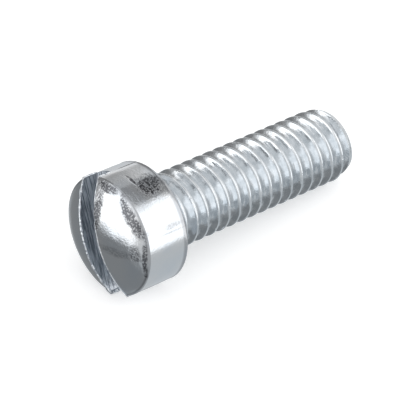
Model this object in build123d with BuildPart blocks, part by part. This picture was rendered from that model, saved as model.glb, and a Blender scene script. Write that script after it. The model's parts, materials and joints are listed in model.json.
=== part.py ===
"""Slotted fillister head machine screw, M4 x 12, lying on its side as it comes to rest.

Millimetres, +Z up. The origin is the centre of the bearing face under the head, and the
screw points along +X, a little downhill: the head's lower edge and the thread near the
tip touch the ground.
"""

import os
from math import asin, atan2, cos, degrees, hypot, radians, sin, tan

from build123d import *

# Thread, as rolled: a little under its nominal 4 mm
thread_diameter = 3.88
pitch = 0.7
flank_half_angle = 30
root_depth = 0.43
crest_width = 0.0875
thread_start = 1.1

# Shank, measured from the bearing face
shank_length = 12.35
neck_diameter = 3.43
neck_length = 0.6
neck_fillet = 0.26
tip_diameter = 3.34
tip_chamfer_length = 0.73

# Head: a short cylinder with a shallow dome
head_diameter = 6.16
head_side_height = 2.46
dome_height = 0.95
rim_fillet = 0.25
bearing_fillet = 0.12

# Slot, sawn right across, a little off centre
slot_width = 1.25
slot_depth = 1.75
slot_offset = -0.28

# Turn of the slot about the screw's axis, from straight up
slot_angle = -25.7

head_radius = head_diameter / 2
thread_radius = thread_diameter / 2
neck_radius = neck_diameter / 2
tip_radius = tip_diameter / 2
root_radius = thread_radius - root_depth
head_height = head_side_height + dome_height
dome_radius = (head_radius**2 + dome_height**2) / (2 * dome_height)

# The neck opens into the thread's crests at forty-five degrees.
lead_in_length = thread_radius - neck_radius

# The cutter stands a hair proud of the crests, so that it cuts them cleanly, and goes on
# past the tip, so that the groove runs out through it.
cutter_overhang = 0.03
cutter_run_past = 1.25 * pitch


def groove_half_width(depth):
    """Half the width of the thread's groove at a depth below its crests."""
    return (pitch - crest_width) / 2 - depth * tan(radians(flank_half_angle))


# The screw stands on its axis here: +Z is the way it drives, and the head is below.
with BuildPart() as upright:
    # Blank: domed head, run-out neck, shank and chamfered point
    with BuildSketch(Plane.XZ) as half_section:
        with BuildLine():
            RadiusArc((0, -head_height), (head_radius, -head_side_height), -dome_radius)
            Polyline(
                (head_radius, -head_side_height),
                (head_radius, 0),
                (neck_radius, 0),
                (neck_radius, neck_length),
                (thread_radius, neck_length + lead_in_length),
                (thread_radius, shank_length - tip_chamfer_length),
                (tip_radius, shank_length),
                (0, shank_length),
                (0, -head_height),
            )
        make_face()
        for corner, corner_fillet in (
            ((head_radius, -head_side_height), rim_fillet),
            ((head_radius, 0), bearing_fillet),
            ((neck_radius, 0), neck_fillet),
        ):
            fillet(half_section.vertices().sort_by_distance(corner)[0], corner_fillet)
    revolve(axis=Axis.Z)

    # Slot: one straight cut across the whole head, open well past the dome
    with BuildSketch(Plane.YZ.rotated((0, 0, slot_angle))) as slot_section:
        with Locations((slot_offset, slot_depth - head_height)):
            Rectangle(slot_width, 2 * slot_depth, align=(Align.CENTER, Align.MAX))
    extrude(amount=head_diameter, both=True, mode=Mode.SUBTRACT)

    # Thread: a truncated vee swept along a right-hand helix, out through the point
    with BuildLine() as thread_path:
        Helix(
            pitch=pitch,
            height=shank_length - thread_start + cutter_run_past,
            radius=root_radius,
            center=(0, 0, thread_start),
        )
    with BuildSketch(Plane.XZ) as groove_section:
        with BuildLine():
            Polyline(
                (root_radius, thread_start - groove_half_width(root_depth)),
                (root_radius, thread_start + groove_half_width(root_depth)),
                (thread_radius + cutter_overhang, thread_start + groove_half_width(-cutter_overhang)),
                (thread_radius + cutter_overhang, thread_start - groove_half_width(-cutter_overhang)),
                close=True,
            )
        make_face()
    sweep(path=thread_path.wires()[0], is_frenet=True, mode=Mode.SUBTRACT)

# At rest the axis dips towards the tip by the angle at which the rounded lower edge of
# the head and the last full crest touch the same ground.
touch_length = shank_length - tip_chamfer_length + bearing_fillet
touch_drop = head_radius - bearing_fillet - thread_radius
dip = atan2(touch_drop, touch_length) + asin(bearing_fillet / hypot(touch_length, touch_drop))
lying = Plane(
    origin=(0, 0, 0),
    x_dir=(sin(dip), 0, cos(dip)),
    z_dir=(cos(dip), 0, -sin(dip)),
)

with BuildPart() as screw:
    with Locations(lying):
        add(upright.part)

screw.part.label = "screw"
os.makedirs("parts", exist_ok=True)
export_step(screw.part, "parts/screw.step")

ground = (head_radius - bearing_fillet) * cos(dip) + bearing_fillet - bearing_fillet * sin(dip)
print(f"dip {degrees(dip):.3f} degrees, ground at z = {-ground:.4f} mm")
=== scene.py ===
"""Slotted fillister head machine screw: its fine mesh, its zinc plating and the studio round it.

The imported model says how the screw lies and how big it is. The screw is shaped in
millimetres, upright on its own axis with the head below, and is then laid down in metres.
"""

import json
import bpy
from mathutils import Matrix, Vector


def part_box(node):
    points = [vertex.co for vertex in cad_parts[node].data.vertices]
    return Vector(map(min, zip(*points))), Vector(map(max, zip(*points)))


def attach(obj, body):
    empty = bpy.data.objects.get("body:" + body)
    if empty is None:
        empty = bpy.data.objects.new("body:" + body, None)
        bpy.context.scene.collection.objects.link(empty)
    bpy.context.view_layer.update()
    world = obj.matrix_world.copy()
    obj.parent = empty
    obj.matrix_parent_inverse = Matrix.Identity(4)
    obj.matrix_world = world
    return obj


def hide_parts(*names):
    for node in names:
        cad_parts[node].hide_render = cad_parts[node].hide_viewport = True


bl_info = {
    "name": "Slotted Machine Screw",
    "version": (1, 0, 0),
    "blender": (4, 5, 0),
    "location": "View3D > Sidebar > Screw",
    "description": "Models a zinc plated slotted machine screw and its product studio",
    "category": "Add Mesh",
}

from math import asin, cos, hypot, pi, radians, sin, sqrt, tan

import bmesh
import bpy
from bpy.props import FloatProperty, FloatVectorProperty, IntProperty, PointerProperty
from mathutils import Matrix, Vector, noise

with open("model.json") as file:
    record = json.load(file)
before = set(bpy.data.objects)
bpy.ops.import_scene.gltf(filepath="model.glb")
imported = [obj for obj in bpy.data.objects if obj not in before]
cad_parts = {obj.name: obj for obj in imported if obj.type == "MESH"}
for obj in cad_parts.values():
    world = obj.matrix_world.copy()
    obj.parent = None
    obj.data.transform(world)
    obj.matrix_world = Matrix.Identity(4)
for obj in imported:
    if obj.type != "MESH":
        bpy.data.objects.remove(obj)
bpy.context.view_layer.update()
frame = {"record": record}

MM = 0.001
mounts = {mount["name"]: mount for mount in frame["record"]["mounts"]}
screw_axis = Vector(mounts["thread"]["axis"])
thread_radius_mm = mounts["thread"]["dims"]["r_mm"]


def length(name, millimetres, description):
    """A length property, written in millimetres and kept in metres."""
    return FloatProperty(
        name=name, description=description, default=millimetres * MM, subtype="DISTANCE", precision=5
    )


def angle(name, in_degrees, description):
    """An angle property, written in degrees."""
    return FloatProperty(name=name, description=description, default=radians(in_degrees), subtype="ANGLE")


def shade(name, red_green_blue, description):
    """A colour property, in linear light."""
    return FloatVectorProperty(
        name=name,
        description=description,
        default=(*red_green_blue, 1),
        size=4,
        min=0,
        max=1,
        subtype="COLOR",
    )


class ScrewSizes(bpy.types.PropertyGroup):
    """The screw's sizes: the main ones as on the solid part, the fine ones the mesh's own."""

    thread_radius: length("Thread radius", thread_radius_mm, "Outside of the crests")
    pitch: length("Pitch", 0.7, "Distance from crest to crest")
    root_depth: length("Thread depth", 0.43, "From the crests to the roots")
    crest_width: length("Crest width", 0.0875, "Flat of a crest before it is rounded")
    flank_bend: length("Flank bend", 0.24, "Depth at which the hollow flanks turn towards the roots")
    upper_flank: angle("Upper flank", 27, "Slope of the flanks above their bend, from square to the axis")
    lower_flank: angle("Lower flank", 40, "Slope of the flanks below their bend, from square to the axis")
    crest_rounding: length("Crest rounding", 0.032, "Setback of a crest's round corners")
    flank_rounding: length("Flank rounding", 0.07, "Setback of the flanks' soft bend")
    root_rounding: length("Root rounding", 0.024, "Setback of a root's round corners")
    thread_start: length("Thread start", 1.1, "First groove, from the bearing face")
    shank_length: length("Shank length", 12.35, "From the bearing face to the tip")
    neck_radius: length("Neck radius", 1.715, "Plain neck under the head")
    neck_length: length("Neck length", 0.6, "Plain neck under the head")
    neck_fillet: length("Neck fillet", 0.26, "Fillet between the neck and the bearing face")
    tip_radius: length("Tip radius", 1.67, "End of the tip's chamfer")
    tip_chamfer: length("Tip chamfer", 0.73, "Length of the tip's chamfer")
    head_radius: length("Head radius", 3.08, "Side of the head")
    head_side: length("Head side", 2.46, "Height of the head's straight side")
    head_barrel: length("Head barrel", 0.025, "How much the side of the head draws in at its two ends")
    dome_height: length("Dome height", 0.95, "Height of the dome above the side")
    rim_fillet: length("Rim fillet", 0.1, "Round edge between the dome and the side")
    bearing_fillet: length("Bearing edge fillet", 0.12, "Round edge of the bearing face")
    slot_width: length("Slot width", 1.25, "Width of the driver slot")
    slot_depth: length("Slot depth", 1.75, "Depth of the slot from the top of the dome")
    slot_offset: length("Slot offset", -0.28, "How far the slot lies off the axis")
    slot_angle: angle("Slot angle", -25.7, "Turn of the slot about the axis")
    burr_radius: length("Burr radius", 0.034, "Bead of metal that the saw pushed up along the slot's edges")
    thread_facets: IntProperty(name="Thread facets", description="Facets in a turn", default=120, min=24)
    head_facets: IntProperty(name="Head facets", description="Facets round the head", default=224, min=24)


class PlatingLook(bpy.types.PropertyGroup):
    """The zinc plating's colours."""

    zinc_cool: shade("Zinc, cool", (0.67, 0.705, 0.745), "Plating of the head where it is bluer")
    zinc_warm: shade("Zinc, warm", (0.722, 0.735, 0.75), "Plating of the head where it is greyer")
    rolled_bright: shade("Rolled, bright", (0.85, 0.87, 0.89), "Thread between the streaks")
    rolled_dark: shade("Rolled, dark", (0.45, 0.495, 0.53), "Thread in the streaks and blotches")
    sawn_dark: shade("Sawn, dark", (0.37, 0.40, 0.443), "Slot in the saw's scores")
    sawn_bright: shade("Sawn, bright", (0.93, 0.965, 1.0), "Slot between the saw's scores")
    # Painted highlight: the bead along the slot's left edge is painted near white, brighter than the zinc,
    # for the bright line it shows
    burr: shade("Burr", (0.95, 0.96, 0.97), "Bead of metal along the slot")
    # Painted shade: mixed into the head's two turned edges for the dark line that they reflect
    dull_edge: shade("Edge shade", (0.16, 0.165, 0.18), "Mixed into the head's two turned edges")
    # Painted shade: mixed into the pitted patches for the dark reflections there
    pit: shade("Pit and shade", (0.09, 0.093, 0.103), "Mixed into the pitted patches")


class StageLook(bpy.types.PropertyGroup):
    """The camera, the floor and the light."""

    camera_place: FloatVectorProperty(
        name="Camera",
        description="Camera's place from the centre of the bearing face",
        default=(-0.074372, -0.088918, 0.090018),
        subtype="TRANSLATION",
    )
    camera_look: FloatVectorProperty(
        name="Direction",
        description="Where the camera looks",
        default=(0.523551, 0.59458, -0.610218),
        subtype="DIRECTION",
    )
    camera_lens: FloatProperty(name="Lens", description="Focal length on a 36 mm sensor", default=260.24)
    floor_size: length("Floor size", 600, "Side of the floor")


# Vertices nearer to each other than these, in millimetres, are one: in general, and where one
# turn of the thread meets the next.
WELD = 0.0005
TURN_WELD = 0.003

# The bead on each edge of the slot, as a share of burr_radius
LEFT_BEAD = 1.55
RIGHT_BEAD = 0.6

# Faces that meet at more than this angle keep a sharp edge in the shading.
SHARP_ANGLE = radians(35)


def in_millimetres(group):
    """The group's lengths in millimetres, and its other values as they are."""
    values = {}
    for name in group.__annotations__:
        is_length = group.bl_rna.properties[name].subtype == "DISTANCE"
        values[name] = getattr(group, name) / MM if is_length else getattr(group, name)
    return type("Sizes", (), values)


def chain(bm, points):
    """Vertices in the XZ plane, out from the axis and along it, joined by edges."""
    verts = [bm.verts.new((out, 0, along)) for out, along in points]
    for start, end in zip(verts, verts[1:]):
        bm.edges.new((start, end))
    return verts


def round_corner(bm, corner, setback, segments):
    """Turns a chain's corner, given by its place, into an arc."""
    place = Vector((corner[0], 0, corner[1]))
    vert = min(bm.verts, key=lambda vert: (vert.co - place).length)
    bmesh.ops.bevel(
        bm, geom=[vert], offset=setback, affect="VERTICES", segments=segments, profile=0.5, material=-1
    )


def spin_round(bm, facets):
    """Spins the chain into a closed solid of revolution."""
    bmesh.ops.spin(
        bm,
        geom=bm.verts[:] + bm.edges[:],
        cent=(0, 0, 0),
        axis=(0, 0, 1),
        angle=2 * pi,
        steps=facets,
        use_merge=True,
    )
    bmesh.ops.remove_doubles(bm, verts=bm.verts, dist=WELD)
    bmesh.ops.recalc_face_normals(bm, faces=bm.faces)


def as_object(bm, name):
    """Makes a bmesh an object of its own."""
    mesh = bpy.data.meshes.new(name)
    bm.to_mesh(mesh)
    bm.free()
    thing = bpy.data.objects.new(name, mesh)
    bpy.context.scene.collection.objects.link(thing)
    return thing


def combine(body, tool, operation):
    """Joins, cuts or crosses one closed solid with another, and deletes the tool."""
    modifier = body.modifiers.new(operation.title(), "BOOLEAN")
    modifier.operation = operation
    modifier.solver = "MANIFOLD"
    modifier.object = tool
    evaluated = body.evaluated_get(bpy.context.evaluated_depsgraph_get())
    mesh = bpy.data.meshes.new_from_object(evaluated)
    body.modifiers.clear()
    body.data = mesh
    bpy.data.objects.remove(tool)


def thread_core(s):
    """A closed rod with the thread all along it, which fades out under the head."""
    bm = bmesh.new()
    root = s.thread_radius - s.root_depth
    first = s.thread_start - 4 * s.pitch
    crest_centre = first + s.pitch / 2
    bend_half = s.crest_width / 2 + s.flank_bend * tan(s.upper_flank)
    root_half = bend_half + (s.root_depth - s.flank_bend) * tan(s.lower_flank)
    corners = (
        (root, root_half, s.root_rounding, 3),
        (s.thread_radius - s.flank_bend, bend_half, s.flank_rounding, 3),
        (s.thread_radius, s.crest_width / 2, s.crest_rounding, 4),
    )
    rise = [(out, crest_centre - half) for out, half, setback, segments in corners]
    fall = [(out, crest_centre + half) for out, half, setback, segments in reversed(corners)]
    chain(bm, ((root, first), *rise, *fall, (root, first + s.pitch)))
    for out, half, setback, segments in corners:
        for side in (-1, 1):
            round_corner(bm, (out, crest_centre + side * half), setback, segments)
    flanks = [edge for edge in bm.edges if edge.calc_length() > s.flank_rounding]
    bmesh.ops.subdivide_edges(bm, edges=flanks, cuts=1)
    bmesh.ops.spin(
        bm,
        geom=bm.verts[:] + bm.edges[:],
        cent=(0, 0, 0),
        axis=(0, 0, 1),
        dvec=(0, 0, s.pitch / s.thread_facets),
        angle=2 * pi,
        steps=s.thread_facets,
    )
    one_turn = bm.verts[:] + bm.edges[:] + bm.faces[:]
    turns = int((s.shank_length - first) / s.pitch) + 2
    for turn in range(1, turns):
        copy = bmesh.ops.duplicate(bm, geom=one_turn)["geom"]
        moved = [item for item in copy if isinstance(item, bmesh.types.BMVert)]
        bmesh.ops.translate(bm, verts=moved, vec=(0, 0, turn * s.pitch))
    bmesh.ops.remove_doubles(bm, verts=bm.verts, dist=TURN_WELD)

    # The groove rises out of the metal in the neck
    fade_end, fade_start = s.neck_length * 0.35, s.neck_length * 1.25
    outside = s.thread_radius * 1.15
    for vert in bm.verts:
        fade = min(max((fade_start - vert.co.z) / (fade_start - fade_end), 0), 1)
        radius = hypot(vert.co.x, vert.co.y)
        wanted = radius + (outside - radius) * fade * fade * (3 - 2 * fade)
        vert.co.x *= wanted / radius
        vert.co.y *= wanted / radius

    # Each open end closes in a point on the axis
    middle = s.shank_length / 2
    rims = [edge for edge in bm.edges if edge.is_boundary]
    closing = bmesh.ops.extrude_edge_only(bm, edges=rims)["geom"]
    for vert in [item for item in closing if isinstance(item, bmesh.types.BMVert)]:
        end = s.shank_length + 2 * s.pitch if vert.co.z > middle else first - s.pitch
        vert.co = Vector((0, 0, end))
    bmesh.ops.remove_doubles(bm, verts=bm.verts, dist=WELD)
    bmesh.ops.recalc_face_normals(bm, faces=bm.faces)
    return as_object(bm, "thread_core")


def shank_blank(s):
    """The outside that the thread is cut to: neck, lead-in, crests' room and chamfered tip."""
    bm = bmesh.new()
    room = 0.06
    lead_in = s.thread_radius - s.neck_radius + room
    chamfer_slope = (s.thread_radius - s.tip_radius) / s.tip_chamfer
    ledge = 0.004
    into_head = 0.5
    tip_edge = 0.03
    chain(
        bm,
        (
            (0, -into_head),
            (s.neck_radius + s.neck_fillet, -into_head),
            (s.neck_radius + s.neck_fillet, ledge),
            (s.neck_radius, ledge),
            (s.neck_radius, s.neck_length),
            (s.thread_radius + room, s.neck_length + lead_in),
            (s.thread_radius + room, s.shank_length - s.tip_chamfer - room / chamfer_slope),
            (s.tip_radius, s.shank_length),
            (0, s.shank_length),
        ),
    )
    round_corner(bm, (s.neck_radius, ledge), s.neck_fillet - 0.001, 8)
    round_corner(bm, (s.tip_radius, s.shank_length), tip_edge, 3)
    spin_round(bm, s.head_facets)
    return as_object(bm, "shank")


def head_blank(s):
    """The head before it is slotted."""
    bm = bmesh.new()
    dome_radius = (s.head_radius**2 + s.dome_height**2) / (2 * s.dome_height)
    apex = -s.head_side - s.dome_height
    top = bm.verts.new((0, 0, apex))
    arc = bmesh.ops.spin(
        bm,
        geom=[top],
        cent=(0, 0, apex + dome_radius),
        axis=(0, -1, 0),
        angle=asin(s.head_radius / dome_radius),
        steps=36,
    )["geom_last"]
    rim = next(item for item in arc if isinstance(item, bmesh.types.BMVert))
    edge = chain(bm, ((s.head_radius, 0), (0, 0)))[0]
    bm.edges.new((rim, edge))
    round_corner(bm, (s.head_radius, 0), s.bearing_fillet, 5)
    # The dome meets the side at a blunt corner, so its setback is less than its fillet.
    rim_setback = s.rim_fillet * 0.54
    round_corner(bm, (s.head_radius, -s.head_side), rim_setback, 6)
    sides = [edge for edge in bm.edges if min(vert.co.x for vert in edge.verts) > s.head_radius - 0.001]
    bmesh.ops.subdivide_edges(bm, edges=sides, cuts=20)
    for vert in bm.verts:
        if vert.co.x > s.head_radius - 0.001:
            from_middle = vert.co.z / (s.head_side / 2) + 1
            vert.co.x -= s.head_barrel * from_middle**2
    spin_round(bm, s.head_facets)
    return as_object(bm, "head")


def slot_cutter(s):
    """A long block as wide as the slot, with its lower corners a little rounded."""
    bm = bmesh.new()
    floor = -s.head_side - s.dome_height + s.slot_depth
    corner = 0.05
    block = bmesh.ops.create_cube(bm, size=1)["verts"]
    bmesh.ops.scale(bm, verts=block, vec=(4 * s.head_radius, s.slot_width, 2 * s.slot_depth))
    lower = [edge for edge in bm.edges if all(vert.co.z > 0 for vert in edge.verts)]
    lower = [edge for edge in lower if abs(edge.verts[0].co.y - edge.verts[1].co.y) < 0.01]
    bmesh.ops.bevel(bm, geom=lower, offset=corner, affect="EDGES", segments=3, profile=0.5, material=-1)
    bmesh.ops.translate(bm, verts=bm.verts, vec=(0, s.slot_offset, floor - s.slot_depth))
    bmesh.ops.rotate(bm, verts=bm.verts, cent=(0, 0, 0), matrix=Matrix.Rotation(s.slot_angle, 3, "Z"))
    return as_object(bm, "slot_cutter")


def slot_burrs(s, side, thickness):
    """The saw's uneven bead along one edge of the slot: up the head, over the dome and down."""
    across = s.slot_offset + side * s.slot_width / 2
    dome_radius = (s.head_radius**2 + s.dome_height**2) / (2 * s.dome_height)
    dome_centre = dome_radius - s.head_side - s.dome_height
    floor = s.slot_depth - s.head_side - s.dome_height
    reach = sqrt(s.head_radius**2 - across**2)
    up, over = 12, 140
    path = [Vector((-reach, 0, floor * (1 - t / up) - s.head_side * t / up)) for t in range(up)]
    for t in range(over + 1):
        along = -reach + 2 * reach * t / over
        path.append(Vector((along, 0, dome_centre - sqrt(dome_radius**2 - along**2 - across**2))))
    path += [Vector((-point.x, 0, point.z)) for point in reversed(path[:up])]

    bm = bmesh.new()
    ring = bmesh.ops.create_circle(bm, cap_ends=True, segments=8, radius=1)["verts"]
    before = Matrix.Identity(4)
    for step, point in enumerate(path):
        tangent = (path[min(step + 1, len(path) - 1)] - path[max(step - 1, 0)]).normalized()
        outward = Vector((tangent.z, 0, -tangent.x))
        wander = Vector((point.x * 3.1, side * 7.0, point.z * 3.1))
        coarse, fine = noise.noise(wander), noise.noise(wander * 3.3)
        low_end = min(max((-point.x / reach - 0.8) / 0.2, 0), 1)
        radius = s.burr_radius * thickness * (1 + 0.5 * coarse + 0.4 * fine + 0.9 * low_end)
        drift = s.burr_radius * thickness * 0.6 * fine
        centre = point + outward * (0.25 * radius) + Vector((0, across + drift, 0))
        turn = Matrix((Vector((0, 1, 0)), outward, tangent)).transposed().to_4x4()
        place = Matrix.Translation(centre) @ turn @ Matrix.Scale(max(radius, 0.008), 4)
        if step:
            edges = list(
                {edge for vert in ring for edge in vert.link_edges if edge.other_vert(vert) in ring}
            )
            new = bmesh.ops.extrude_edge_only(bm, edges=edges)["geom"]
            ring = [item for item in new if isinstance(item, bmesh.types.BMVert)]
        bmesh.ops.transform(bm, matrix=place @ before.inverted(), verts=ring)
        before = place
    bmesh.ops.holes_fill(bm, edges=[edge for edge in bm.edges if edge.is_boundary], sides=8)
    bmesh.ops.rotate(bm, verts=bm.verts, cent=(0, 0, 0), matrix=Matrix.Rotation(s.slot_angle, 3, "Z"))
    bmesh.ops.recalc_face_normals(bm, faces=bm.faces)
    return as_object(bm, "slot_burr")


class SCREW_OT_body(bpy.types.Operator):
    """Model the whole screw: domed slotted head, neck, rolled thread and chamfered tip"""

    bl_idname = "screw.body"
    bl_label = "Screw body"

    def execute(self, context):
        s = in_millimetres(context.scene.screw_sizes)
        shank = thread_core(s)
        combine(shank, shank_blank(s), "INTERSECT")
        screw = head_blank(s)
        combine(screw, slot_cutter(s), "DIFFERENCE")
        combine(screw, slot_burrs(s, -1, LEFT_BEAD), "UNION")
        combine(screw, slot_burrs(s, 1, RIGHT_BEAD), "UNION")
        combine(screw, shank, "UNION")
        screw.name = screw.data.name = "machine_screw"
        lay_down(screw.data)
        screw.data.shade_smooth()
        screw.data.set_sharp_from_angle(angle=SHARP_ANGLE)
        screw.data.materials.clear()
        screw.data.materials.append(zinc_plating(s, context.scene.plating_look))
        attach(screw, "root")
        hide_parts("screw")
        return {"FINISHED"}


def lying_matrix():
    """Turns the upright screw's frame into the frame in which it lies."""
    up = Vector((-screw_axis.z, 0, screw_axis.x))
    return Matrix((up, screw_axis.cross(up), screw_axis)).transposed().to_4x4()


def lay_down(mesh):
    """Brings an upright mesh in millimetres to its place in metres."""
    mesh.transform(lying_matrix() @ Matrix.Scale(MM, 4))
    mesh.update()


class Socket:
    """A number in a node tree, with Python's operators."""

    def __init__(self, shader, output):
        self.shader = shader
        self.output = output

    def math(self, operation, *others):
        return self.shader.node("ShaderNodeMath", {"operation": operation}, self, *others)

    def __add__(self, other):
        return self.math("ADD", other)

    def __sub__(self, other):
        return self.math("SUBTRACT", other)

    def __rsub__(self, other):
        return self.shader.node("ShaderNodeMath", {"operation": "SUBTRACT"}, other, self)

    def __mul__(self, other):
        return self.math("MULTIPLY", other)

    __radd__ = __add__
    __rmul__ = __mul__


class Shader:
    """A material's or a world's nodes."""

    def __init__(self, owner):
        owner.use_nodes = True
        self.tree = owner.node_tree
        self.tree.nodes.clear()

    def node(self, kind, settings=None, *values, output=0, **named):
        """Adds a node, sets it up, feeds its sockets and returns one of its outputs."""
        node = self.tree.nodes.new(kind)
        for name, value in (settings or {}).items():
            setattr(node, name, value)
        by_name = [(name.replace("_", " "), value) for name, value in named.items()]
        for socket, value in [*enumerate(values), *by_name]:
            if isinstance(value, Socket):
                self.tree.links.new(value.output, node.inputs[socket])
            elif value is not None:
                node.inputs[socket].default_value = value
        return Socket(self, node.outputs[output]) if node.outputs else None

    def vector(self, operation, *values, output="Vector"):
        """Reckons with vectors."""
        return self.node("ShaderNodeVectorMath", {"operation": operation}, *values, output=output)

    def along(self, vector, axis):
        """How far a vector reaches along an axis."""
        return self.vector("DOT_PRODUCT", vector, axis, output="Value")

    def rising(self, value, start, end):
        """Zero at the start and one at the end, with a soft rise between them."""
        smooth = {"interpolation_type": "SMOOTHSTEP"}
        return self.node("ShaderNodeMapRange", smooth, value, start, end, 0.0, 1.0)

    def mix(self, factor, colour, other):
        """Mixes two colours."""
        # A Mix node's colour sockets are its seventh and eighth, and its colour output the third
        unused = [None] * 5
        return self.node("ShaderNodeMix", {"data_type": "RGBA"}, factor, *unused, colour, other, output=2)

    def mottle(self, vector, scale, detail, seed):
        """Noise between zero and one."""
        settings = {"noise_dimensions": "4D"}
        return self.node("ShaderNodeTexNoise", settings, Vector=vector, Scale=scale, Detail=detail, W=seed)


# Patches of the head and the tip where the metal is pitted, with dark grainy specks; their
# darkness is painted shade, standing in for the dark reflections there.
# Each has its angle round the axis from straight up, in degrees. Then come its distance from
# the axis, its height along the axis and how far it spreads outwards, round and along the
# axis, in millimetres, and last how dark it is.
PITTED_AND_SHADED_PATCHES = {
    "side of the head, above": (17, 3.08, -0.9, 1.0, 0.6, 0.72, 1.5),
    "side of the head, middle": (61, 3.08, -0.75, 1.0, 0.15, 0.6, 0.42),
    "side of the head, below": (66, 3.08, -0.8, 1.0, 0.05, 0.8, 0.4),
    "side of the head, line": (-19, 3.08, -0.6, 1.0, 0.06, 0.8, 1.2),
    "side of the head, nick": (7, 3.08, -1.5, 1.0, 0.45, 0.1, 1.5),
    "dome, right of the middle": (40, 2.7, -2.7, 0.25, 1.15, 1.0, 1.6),
    "dome, rim": (84, 2.84, -2.62, 0.14, 1.3, 0.2, 1.2),
    "dome, top": (-3, 2.82, -2.7, 0.22, 0.75, 0.5, 1.5),
    "dome, across the middle": (84, 1.5, -3.1, 1.25, 0.24, 1.0, 0.4),
    "dome, below the middle": (80, 2.45, -2.9, 0.3, 0.42, 1.0, 0.8),
    "dome, beside the slot": (-8, 1.5, -3.2, 1.15, 0.32, 1.0, 1.5),
    "tip, above": (40, 1.88, 11.72, 1.0, 0.7, 0.045, 0.55),
    "tip, edge": (66, 1.8, 12.15, 1.0, 0.5, 0.05, 0.6),
}


def pitting_and_shade(sh, place):
    """How deeply each place is pitted and painted dark: patches with ragged edges, made of dark specks,
    whose darkness is painted shade.
    """
    ragged = (sh.mottle(place, scale=2.6, detail=4.0, seed=8.0) - 0.5) * 1.3
    pitted_and_shaded = 0.0
    for turned, out, up, spread_out, spread_round, spread_up, strength in PITTED_AND_SHADED_PATCHES.values():
        turned = radians(turned)
        patch = sh.node(
            "ShaderNodeMapping",
            {"vector_type": "TEXTURE"},
            place,
            Location=(out * cos(turned), out * sin(turned), up),
            Rotation=(0, 0, turned),
            Scale=(spread_out, spread_round, spread_up),
        )
        inside = sh.rising(sh.vector("LENGTH", patch, output="Value") + ragged, 1.3, 0.5)
        pitted_and_shaded = (inside * strength).math("MAXIMUM", pitted_and_shaded)
    specks = sh.rising(sh.mottle(place, scale=11.0, detail=5.0, seed=7.0), 0.62, 0.4)
    return (pitted_and_shaded * (0.35 + specks * 0.65)).math("MINIMUM", 1.0)


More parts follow.
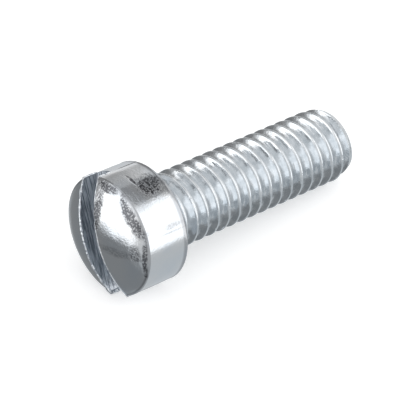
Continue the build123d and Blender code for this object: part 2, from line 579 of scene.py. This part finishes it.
def zinc_plating(s, look):
    """Bright zinc over cold formed steel, with the marks of the saw in the slot."""
    material = bpy.data.materials.new("zinc_plating")
    sh = Shader(material)
    metres = sh.node("ShaderNodeTexCoord", output="Object")
    upright = lying_matrix().inverted().to_euler()
    place = sh.node("ShaderNodeMapping", {}, metres, Rotation=upright, Scale=(1 / MM,) * 3)
    height = sh.along(place, (0, 0, 1))
    from_axis = sh.vector("MULTIPLY", place, (1, 1, 0))
    radius = sh.vector("LENGTH", from_axis, output="Value")

    # The slot: its walls and floor are sawn, dull and scored along it
    across = sh.along(place, (-sin(s.slot_angle), cos(s.slot_angle), 0)) - s.slot_offset
    wall = s.slot_width / 2
    floor = s.slot_depth - s.head_side - s.dome_height
    sawn = (
        sh.rising(across.math("ABSOLUTE"), wall + 0.02, wall + 0.01)
        * sh.rising(height, floor + 0.05, floor + 0.02)
    )
    # Painted highlight: a band beside the slot's left edge, where the thicker bead lies, painted near white
    burr = (
        sh.rising(across, -wall - 0.005, -wall - 0.015)
        * sh.rising(across, -wall - 0.1, -wall - 0.07)
        * sh.rising(height, floor + 0.1, floor)
    )
    along_slot = sh.node("ShaderNodeMapping", {}, place, Rotation=(0, 0, -s.slot_angle))
    stretched = sh.node("ShaderNodeMapping", {}, along_slot, Scale=(0.07, 1, 1))
    scores = sh.mottle(stretched, scale=16.0, detail=4.0, seed=4.0)

    # The thread: streaks that the dies drew round it, and nicked crests
    on_thread = (
        sh.rising(height, s.neck_length * 0.5, s.neck_length)
        * sh.rising(radius, s.thread_radius + 0.1, s.thread_radius + 0.05)
    )
    direction = sh.vector("NORMALIZE", from_axis)
    turns = sh.vector("MULTIPLY", place, (0, 0, 12))
    round_it = sh.vector("MULTIPLY_ADD", direction, (1.2, 1.2, 0), turns)
    streaks = sh.mottle(round_it, scale=1.0, detail=2.0, seed=6.0)
    crest = on_thread * sh.rising(radius, s.thread_radius - 0.08, s.thread_radius - 0.01)
    nicks = crest * sh.rising(sh.mottle(place, scale=2.6, detail=1.0, seed=9.0), 0.6, 0.72)

    # The saw cut the pits and their painted shade away where it passed
    pits_and_shade = pitting_and_shade(sh, place) * (1.0 - sawn)

    # Painted shade: the head's two turned edges are painted darker, all the way round, standing
    # in for the dark line they reflect
    rim = (
        sh.rising(radius, s.head_radius - 0.16, s.head_radius - 0.08)
        * sh.rising(height, 0.08 - s.head_side, 0.02 - s.head_side)
    )
    bearing_edge = (
        sh.rising(radius, s.head_radius - 0.2, s.head_radius - 0.1)
        * sh.rising(height, -0.36, -0.2)
        * sh.rising(height, -0.03, -0.07)
    )

    # The tip is scuffed
    scuffed = sh.rising(height, s.shank_length - s.tip_chamfer, s.shank_length - s.tip_chamfer / 2)

    # Heights are in micrometres
    grain = sh.mottle(place, scale=9.0, detail=3.0, seed=1.0)
    swell = sh.mottle(place, scale=0.9, detail=1.0, seed=2.0)
    relief = (
        grain * (6.0 + scuffed * 8.0)
        + swell * 30.0
        + streaks * (3.0 + on_thread * 5.0)
        + sawn * scores * 16.0
        - nicks * 12.0
        - pits_and_shade * 8.0
    )
    bump = sh.node("ShaderNodeBump", {}, Height=relief, Strength=1.0, Distance=MM * MM)

    # Each colour goes over the ones before it
    warmth = sh.rising(sh.mottle(place, scale=0.7, detail=3.0, seed=3.0), 0.35, 0.65)
    colour = sh.mix(warmth, look.zinc_cool, look.zinc_warm)
    blotches = sh.rising(sh.mottle(place, scale=2.4, detail=3.0, seed=10.0), 0.35, 0.62)
    rolled = sh.mix(blotches * 0.25 + streaks * 0.55, look.rolled_bright, look.rolled_dark)
    colour = sh.mix(on_thread, colour, rolled)
    scored = sh.mix(sh.rising(scores, 0.4, 0.6), look.sawn_dark, look.sawn_bright)
    colour = sh.mix(sawn, colour, scored)
    # Painted highlight on the bead along the slot's left edge
    colour = sh.mix(burr, colour, look.burr)
    # Painted shade along the head's two turned edges
    colour = sh.mix((rim + bearing_edge) * 0.45, colour, look.dull_edge)
    # Painted shade: the patches are painted near black for the dark reflections, with the specks of the
    # pitting
    colour = sh.mix(pits_and_shade * 0.94, colour, look.pit)
    hazy = sh.rising(sh.mottle(place, scale=3.0, detail=3.0, seed=5.0), 0.4, 0.7)
    roughness = 0.09 + hazy * 0.05 + sawn * 0.2
    surface = sh.node(
        "ShaderNodeBsdfPrincipled", {}, Base_Color=colour, Metallic=1.0, Roughness=roughness, Normal=bump
    )
    sh.node("ShaderNodeOutputMaterial", {}, surface)
    return material


class SCREW_OT_stage(bpy.types.Operator):
    """Set up the floor, the camera and the light"""

    bl_idname = "screw.stage"
    bl_label = "Stage"

    def execute(self, context):
        look = context.scene.stage_look
        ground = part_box("screw")[0][2]
        bm = bmesh.new()
        bmesh.ops.create_grid(bm, x_segments=1, y_segments=1, size=look.floor_size / 2)
        bmesh.ops.translate(bm, verts=bm.verts, vec=(0, 0, ground))
        floor = as_object(bm, "floor")
        floor.data.materials.append(floor_white())
        floor.visible_glossy = False

        camera = bpy.data.objects.new("camera", bpy.data.cameras.new("camera"))
        camera.data.lens = look.camera_lens
        camera.data.sensor_width = 36
        camera.data.clip_start = 0.001
        camera.location = look.camera_place
        camera.rotation_euler = Vector(look.camera_look).to_track_quat("-Z", "Y").to_euler()
        context.scene.collection.objects.link(camera)
        context.scene.camera = camera

        world = bpy.data.worlds.new("studio")
        context.scene.world = world
        studio_light(Shader(world))
        context.scene.view_settings.view_transform = "Standard"
        return {"FINISHED"}


# The studio as the screw's mirror finish sees it, set up as listed. Each panel has its azimuth
# from +Y towards +X, its elevation, half its width and half its height in degrees, and its
# brightness. A later panel stands in front of an earlier one.
STUDIO_PANELS = {
    "overhead cloth": (0, 90, 60, 60, 1.0),
    "key softbox": (140, 15, 30, 30, 1.6),
    "header": (80, 50, 20, 8, 0.3),
    "far card": (0, 35, 40, 20, 0.4),
    "dark card": (-45, -30, 45, 40, 0.25),
    "dome softbox": (-70, 10, 25, 20, 1.7),
}
PANEL_SOFTNESS = 0.1

# The room's own brightness, below and above, and the tint of its low light
ROOM_BELOW = 0.6
ROOM_ABOVE = 1.0
LOW_TINT = (0.97, 1.02, 1.055, 1)


def studio_light(sh):
    """A pale room with cloths, softboxes and cards round the screw."""
    direction = sh.node("ShaderNodeTexCoord", output="Generated")

    height = sh.along(direction, (0, 0, 1))

    def within(axis, half_angle):
        half = sin(radians(half_angle))
        distance = sh.along(direction, axis).math("ABSOLUTE")
        return sh.rising(distance, half + PANEL_SOFTNESS, half - PANEL_SOFTNESS)

    light = sh.node("ShaderNodeMapRange", {}, height, -0.5, 0.8, ROOM_BELOW, ROOM_ABOVE)
    for azimuth, elevation, half_width, half_height, brightness in STUDIO_PANELS.values():
        turn = Matrix.Rotation(radians(-azimuth), 3, "Z") @ Matrix.Rotation(radians(elevation), 3, "X")
        across, ahead, up = (turn @ Vector(axis) for axis in ((1, 0, 0), (0, 1, 0), (0, 0, 1)))
        panel = (
            within(across, half_width)
            * within(up, half_height)
            * sh.along(direction, ahead).math("GREATER_THAN", 0.0)
        )
        light = light + panel * (brightness - light)
    low = sh.node("ShaderNodeMapRange", {}, height, 0.1, -0.6, 0.0, 1.0)
    tint = sh.mix(low, (1, 1, 1, 1), LOW_TINT)
    sh.node("ShaderNodeOutputWorld", {}, sh.node("ShaderNodeBackground", {}, tint, light))


def floor_white():
    """A white floor, with a faint glow where a ray sees it directly."""
    material = bpy.data.materials.new("floor_white")
    sh = Shader(material)
    paint = sh.node("ShaderNodeBsdfDiffuse", {}, (0.92, 0.92, 0.92, 1))
    rays = ("Camera", "Glossy", "Transmission")
    seen = sum(sh.node("ShaderNodeLightPath", output=f"Is {ray} Ray") for ray in rays)
    glow = sh.node("ShaderNodeEmission", {}, (1, 1, 1, 1), seen * 0.35)
    sh.node("ShaderNodeOutputMaterial", {}, sh.node("ShaderNodeAddShader", {}, paint, glow))
    return material


class SCREW_PT_panel(bpy.types.Panel):
    """The screw's pieces, in the order in which they are made"""

    bl_label = "Machine screw"
    bl_idname = "SCREW_PT_panel"
    bl_space_type = "VIEW_3D"
    bl_region_type = "UI"
    bl_category = "Screw"

    def draw(self, context):
        for operator in (SCREW_OT_body, SCREW_OT_stage):
            self.layout.operator(operator.bl_idname)
        scene = context.scene
        for group in (scene.screw_sizes, scene.plating_look, scene.stage_look):
            for name in group.__annotations__:
                self.layout.prop(group, name)


classes = (ScrewSizes, PlatingLook, StageLook, SCREW_OT_body, SCREW_OT_stage, SCREW_PT_panel)


def register():
    for cls in classes:
        bpy.utils.register_class(cls)
    bpy.types.Scene.screw_sizes = PointerProperty(type=ScrewSizes)
    bpy.types.Scene.plating_look = PointerProperty(type=PlatingLook)
    bpy.types.Scene.stage_look = PointerProperty(type=StageLook)


def unregister():
    del bpy.types.Scene.stage_look
    del bpy.types.Scene.plating_look
    del bpy.types.Scene.screw_sizes
    for cls in reversed(classes):
        bpy.utils.unregister_class(cls)


def main():
    register()
    bpy.ops.screw.body()
    bpy.ops.screw.stage()


if __name__ == "__main__":
    main()
